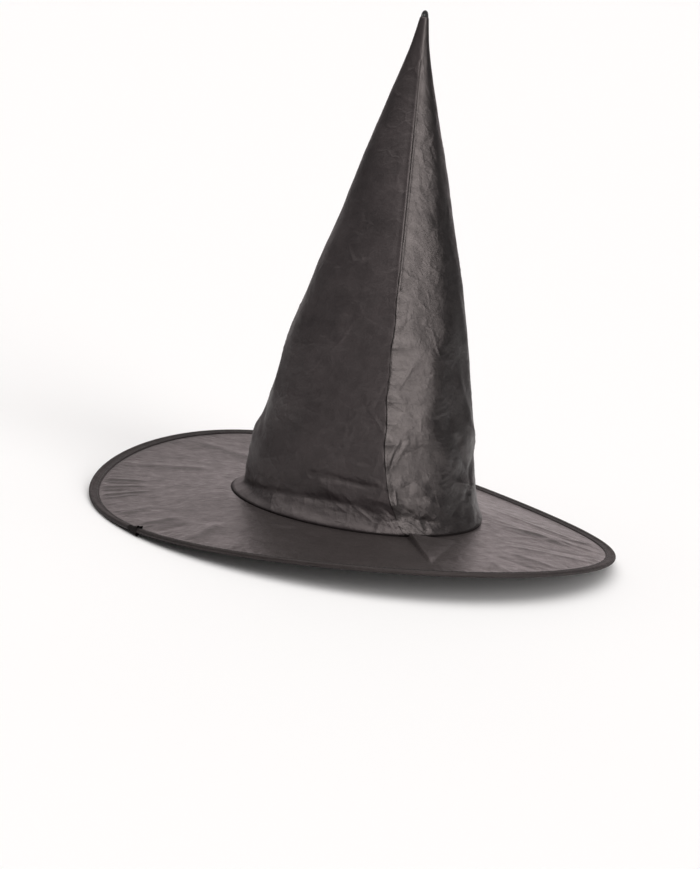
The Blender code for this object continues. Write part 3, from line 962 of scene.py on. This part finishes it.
class Nodes(Graph):
    """The same for a material."""

    def __init__(self, name):
        self.material = bpy.data.materials.new(name)
        self.material.use_nodes = True
        super().__init__(self.material.node_tree)
        self.shader = self.tree.nodes["Principled BSDF"]

    def set(self, name, value):
        self.give(value, self.shader.inputs[name])

    def surface(self, colour, roughness, normal):
        self.set("Base Color", colour)
        self.set("Roughness", roughness)
        self.set("Normal", normal)

    def object_place(self):
        return self.add("ShaderNodeTexCoord").outputs["Object"]

    def cloth_place(self):
        return self.add("ShaderNodeAttribute", attribute_name="cloth").outputs["Vector"]

    def noise(self, vector, scale, detail=3.0, roughness=0.55):
        """Fractal noise, with about this many features to the metre."""
        node = self.add("ShaderNodeTexNoise", vector, 0.0, scale, detail, roughness)
        return node.outputs["Fac"]

    def mix(self, factor, first, second):
        node = self.add("ShaderNodeMix", data_type="RGBA")
        self.give(factor, node.inputs["Factor"])
        node.inputs["A"].default_value = (*first, 1)
        node.inputs["B"].default_value = (*second, 1)
        return node.outputs["Result"]

    def shade(self, value, low, high, first, second):
        """One colour where the value is low, another where it is high."""
        return self.mix(self.stretch(value, low, high, 0, 1), first, second)

    def bump(self, height, distance, strength=1.0, under=None):
        node = self.add("ShaderNodeBump")
        node.inputs["Distance"].default_value = distance
        node.inputs["Strength"].default_value = strength
        self.give(height, node.inputs["Height"])
        if under is not None:
            self.give(under, node.inputs["Normal"])
        return node.outputs["Normal"]

    def wave(self, value, pitch):
        return self.math("SINE", self.math("MULTIPLY", value, 2 * pi / pitch))

    def weave(self, place, pitch):
        """Over and under of a plain weave, about -1 to 1."""
        across, along = [self.wave(self.axis(place, name), pitch) for name in "XY"]
        return self.math("MULTIPLY", across, along)

    def creases(self, place, scale, width):
        """A broken network of straight crisp ridges, 1 on their crests and 0 between them."""
        wander = self.add("ShaderNodeTexNoise", place, 0.0, scale * 0.6)
        size = (0.5 / scale, 0.5 / scale, 0)
        bent = self.vector("MULTIPLY_ADD", wander.outputs["Color"], size, place)
        cells = self.add("ShaderNodeTexVoronoi", bent, 0.0, scale, feature="DISTANCE_TO_EDGE")
        crest = self.stretch(cells.outputs["Distance"], 0.0, width, 1.0, 0.0)
        patch = self.stretch(self.noise(place, scale * 0.45, 2.0), 0.46, 0.62, 0.0, 1.0)
        return self.math("MULTIPLY", crest, patch)


# ---- studio

FLOOR_REACH = 60.0
# Colours of the floor's painted pool of light and of the painted shade beyond it.
FLOOR_POOL_PAINTED_LIGHT = (0.93, 0.93, 0.93)
FLOOR_PAINTED_SHADE = (0.25, 0.25, 0.25)

# Soft lights of the studio, seen as glows on the far walls: angle from the camera's side towards
# the right, elevation, inner and outer half-widths in degrees, how many times wider than high,
# strength and colour.
GLOWS = (
    (44, 12, 9, 25, 0.55, 4.5, (1.0, 0.98, 0.97)),
    (180, 6, 12, 40, 1.3, 1.15, (1.0, 0.86, 0.87)),
    (0, 90, 20, 66, 1.0, 1.5, (1.0, 0.98, 0.97)),
)
WALLS = 0.09


def direction(azimuth, elevation):
    level = cos(elevation)
    return Vector((sin(azimuth) * level, -cos(azimuth) * level, sin(elevation)))


def make_camera():
    back = direction(CAMERA_AZIMUTH, CAMERA_ELEVATION)
    right = Vector((cos(CAMERA_AZIMUTH), sin(CAMERA_AZIMUTH), 0))
    up = back.cross(right)
    turn = Matrix.Rotation(CAMERA_ROLL, 3, back)
    right, up = turn @ right, turn @ up
    middle = Vector((0, 0, HOOP_LIFT))
    place = middle + back * CAMERA_DISTANCE
    aim = middle + up * AIM_UP + right * AIM_RIGHT
    forward = (aim - place).normalized()
    side = forward.cross(up).normalized()
    top = side.cross(forward)
    data = bpy.data.cameras.new("camera")
    data.lens = LENS_MM
    data.clip_end = 200
    camera = bpy.data.objects.new("camera", data)
    axes = Matrix((side, top, -forward)).transposed()
    camera.matrix_world = Matrix.Translation(place) @ axes.to_4x4()
    bpy.context.scene.collection.objects.link(camera)
    bpy.context.scene.camera = camera


def make_floor():
    """A pale floor that runs back like a studio's paper sweep, in a darker room. Its colour is
    painted: pale near the hat and in the strip behind it, dark beyond, a painted pool of light with
    painted shade round it.
    """
    corners = [(-1, -1, 0), (1, -1, 0), (1, 1, 0), (-1, 1, 0)]
    obj = new_mesh("floor", np.array(corners, float) * FLOOR_REACH, np.array([[0, 1, 2, 3]]))
    nodes = Nodes("floor_painted_light_pool")
    place = nodes.object_place()
    across = nodes.along(place, (cos(CAMERA_AZIMUTH), sin(CAMERA_AZIMUTH), 0))
    behind = nodes.along(place, (-sin(CAMERA_AZIMUTH), cos(CAMERA_AZIMUTH), 0))
    # The painted pale strip reaches 0.3 m to each side, and 0.15 more for each metre behind the
    # hat; outside it and the pool the floor is painted dark.
    widening = nodes.math("MULTIPLY", nodes.math("MAXIMUM", behind, 0.0), 0.15)
    width = nodes.math("ADD", widening, 0.30)
    aside = nodes.math("DIVIDE", nodes.math("ABSOLUTE", across), width)
    far = nodes.add("ShaderNodeVectorMath", place, operation="LENGTH").outputs["Value"]
    sweep = nodes.stretch(aside, 1.0, 2.4, 1.0, 0.0)
    # A painted pool of light: pale within 0.35 m of the hat, fading to painted shade by 0.9 m.
    painted_pool = nodes.stretch(far, 0.35, 0.9, 1.0, 0.0)
    pale = nodes.math("MAXIMUM", sweep, painted_pool)
    nodes.set("Base Color", nodes.mix(pale, FLOOR_PAINTED_SHADE, FLOOR_POOL_PAINTED_LIGHT))
    nodes.set("Roughness", 0.9)
    nodes.set("Specular IOR Level", 0.1)
    dress(obj, nodes.material)


def make_world():
    world = bpy.data.worlds.new("studio")
    world.use_nodes = True
    nodes = Graph(world.node_tree)
    outward = nodes.add("ShaderNodeTexCoord").outputs["Generated"]
    total = (WALLS, WALLS, WALLS)
    for angle, elevation, inner, outer, wide, strength, colour in GLOWS:
        towards = direction(CAMERA_AZIMUTH + radians(angle), radians(elevation))
        towards.z *= wide
        unit = nodes.vector("NORMALIZE", nodes.vector("MULTIPLY", outward, (1, 1, wide)))
        near = nodes.along(unit, towards.normalized())
        start = cos(radians(outer))
        end = cos(radians(inner))
        glow = nodes.stretch(near, start, end, 0.0, strength, interpolation_type="SMOOTHERSTEP")
        total = nodes.vector("ADD", total, nodes.vector("MULTIPLY", glow, colour))
    nodes.give(total, world.node_tree.nodes["Background"].inputs["Color"])
    bpy.context.scene.world = world


# ---- materials


def taffeta(name, dark, light, roughness, specular, dull=0.0, crumple=1.0, creased=0.3):
    """Plain-weave polyester: patches of shade and gloss, crumpled grain, creases, and the threads.

    dull is how much rougher it looks edge on, where the threads hide each other's gloss.
    """
    nodes = Nodes(name)
    place = nodes.cloth_place()
    colour = nodes.shade(nodes.noise(place, 34.0, 5.0, 0.62), 0.32, 0.68, dark, light)
    gloss = nodes.noise(place, 120.0, 5.0, 0.7)
    uneven = nodes.stretch(gloss, 0.28, 0.72, roughness - 0.1, roughness + 0.1)
    if dull:
        edge_on = nodes.add("ShaderNodeLayerWeight").outputs["Facing"]
        uneven = nodes.math("ADD", uneven, nodes.stretch(edge_on, 0.30, 0.75, 0.0, dull))
    normal = nodes.bump(nodes.noise(place, 48.0, 3.0, 0.5), 2.2 * MM, 0.5 * crumple)
    normal = nodes.bump(nodes.noise(place, 260.0, 5.0, 0.72), 0.6 * MM, 0.6 * crumple, normal)
    normal = nodes.bump(nodes.creases(place, 46.0, 0.09), 0.5 * MM, creased, normal)
    normal = nodes.bump(nodes.creases(place, 105.0, 0.13), 0.26 * MM, creased, normal)
    normal = nodes.bump(nodes.weave(place, 0.4 * MM), 0.007 * MM, 1.0, normal)
    nodes.surface(colour, uneven, normal)
    nodes.set("Specular IOR Level", specular)
    nodes.set("Specular Tint", (1.0, 0.89, 0.87, 1))
    return nodes.material


def thread_material(name, dark, light):
    """Twisted yarn: fine slanting plies and a little fluff."""
    nodes = Nodes(name)
    place = nodes.object_place()
    plies = nodes.wave(nodes.along(place, (1, 1, 1.7)), 0.22 * MM)
    fluff = nodes.noise(place, 900.0, 4.0, 0.6)
    roughness = nodes.stretch(fluff, 0.2, 0.8, 0.5, 0.75)
    nodes.surface(nodes.mix(fluff, dark, light), roughness, nodes.bump(plies, 0.03 * MM))
    nodes.set("Sheen Weight", 0.2)
    nodes.set("Specular IOR Level", 0.4)
    return nodes.material


def felt_material(name):
    """Pressed non-woven stiffener: tangled fibres and bonding dots."""
    nodes = Nodes(name)
    place = nodes.cloth_place()
    fibres = nodes.noise(place, 1400.0, 6.0, 0.75)
    clouds = nodes.noise(place, 120.0, 3.0, 0.5)
    both = nodes.math("MULTIPLY", clouds, 0.4)
    both = nodes.math("ADD", nodes.math("MULTIPLY", fibres, 0.6), both)
    colour = nodes.shade(both, 0.35, 0.65, (0.020, 0.019, 0.020), (0.055, 0.053, 0.055))
    normal = nodes.bump(nodes.weave(place, 2.2 * MM), 0.05 * MM, 0.6)
    normal = nodes.bump(fibres, 0.12 * MM, 0.8, normal)
    nodes.surface(colour, nodes.stretch(fibres, 0.2, 0.8, 0.8, 0.95), normal)
    nodes.set("Specular IOR Level", 0.25)
    return nodes.material


def ribbon_material(name):
    """Grosgrain: close ribs across the band."""
    nodes = Nodes(name)
    place = nodes.cloth_place()
    wear = nodes.noise(place, 150.0, 4.0, 0.6)
    colour = nodes.shade(wear, 0.3, 0.7, (0.014, 0.012, 0.012), (0.026, 0.023, 0.023))
    normal = nodes.bump(nodes.wave(nodes.axis(place, "X"), 1.1 * MM), 0.14 * MM, 1.0)
    normal = nodes.bump(nodes.weave(place, 0.3 * MM), 0.02 * MM, 0.8, normal)
    nodes.surface(colour, nodes.stretch(wear, 0.3, 0.7, 0.55, 0.72), normal)
    nodes.set("Sheen Weight", 0.15)
    return nodes.material


def satin_material(name):
    """Off-white label satin: long floats across, faint handling marks."""
    nodes = Nodes(name)
    place = nodes.cloth_place()
    marks = nodes.noise(place, 180.0, 4.0, 0.6)
    colour = nodes.shade(marks, 0.3, 0.7, (0.66, 0.65, 0.62), (0.76, 0.75, 0.73))
    normal = nodes.bump(nodes.wave(nodes.axis(place, "Y"), 0.25 * MM), 0.02 * MM, 1.0)
    nodes.surface(colour, nodes.stretch(marks, 0.3, 0.7, 0.3, 0.42), normal)
    return nodes.material


def metal_material(name, colour, roughness, tarnish):
    """Drawn metal with a fine grain and dull spots."""
    nodes = Nodes(name)
    place = nodes.object_place()
    spots = nodes.noise(place, 160.0, 4.0, 0.6)
    uneven = nodes.stretch(spots, 0.3, 0.7, roughness, roughness + 0.2)
    normal = nodes.bump(nodes.noise(place, 1800.0, 3.0, 0.6), 0.02 * MM, 0.5)
    nodes.surface(nodes.shade(spots, 0.45, 0.75, colour, tarnish), uneven, normal)
    nodes.set("Metallic", 1.0)
    return nodes.material


# ---- assembly

# The black cloths: dark and light shade, roughness, gloss, and how dull, crumpled and creased.
CLOTHS = {
    "left_taffeta": ((0.018, 0.0144, 0.0155), (0.040, 0.0325, 0.0338), 0.44, 0.85, 0.1, 1.0, 0.55),
    # The two gores are the same taffeta. The right one's shades are painted several times darker
    # than the left's: painted shade, which darkens the far, unlit side of the right half.
    "right_taffeta_painted_shade": ((0.004, 0.0034, 0.0036), (0.008, 0.0067, 0.0070), 0.37, 0.9, 0.05, 0.8, 0.3),
    "brim_taffeta_weave": ((0.029, 0.0240, 0.0234), (0.038, 0.0316, 0.0311), 0.38, 0.45, 0, 1, 0.2),
    "casing_tape_weave": ((0.016, 0.0128, 0.0128), (0.024, 0.0195, 0.0195), 0.5, 0.35, 0.2),
    # The overlap at the tape's join is painted darker than the tape: painted shade.
    "tape_end_painted_shade": ((0.006, 0.0050, 0.0050), (0.010, 0.0085, 0.0085), 0.65, 0.15, 0.3),
    "allowance_weave": ((0.012, 0.010, 0.010), (0.018, 0.015, 0.015), 0.6, 0.3),
}


def build():
    bpy.context.scene.view_settings.view_transform = "Standard"
    make_camera()
    make_world()
    make_floor()
    left, right, brim, tape, tape_end, allowance = [
        taffeta(name, *looks) for name, looks in CLOTHS.items()
    ]
    thread = thread_material("black_thread", (0.008, 0.007, 0.007), (0.020, 0.018, 0.018))
    felt = felt_material("stiffener_felt")
    satin = satin_material("label_satin_white")
    for side_name, side, cloth in (("left", -1, left), ("right", 1, right)):
        make_gore(side_name, side, cloth)
        make_stiffener(side_name, side, felt)
    make_allowance("front", 0.0, allowance, thread)
    make_allowance("back", 1.0, allowance, thread)
    make_base_overlock(allowance)
    make_sweatband(ribbon_material("grosgrain"), thread)
    make_tip_tack(thread)
    make_label(satin, thread)
    make_brim(brim)
    make_casing(tape, thread)
    make_join(tape_end)
    steel = metal_material("spring_steel_wire", (0.50, 0.50, 0.52), 0.28, (0.30, 0.27, 0.24))
    zinc = metal_material("ferrule_zinc", (0.58, 0.58, 0.56), 0.40, (0.38, 0.37, 0.34))
    dress(frame["nodes"]["hoop_wire"], steel)
    dress(frame["nodes"]["hoop_ferrule"], zinc)


build()
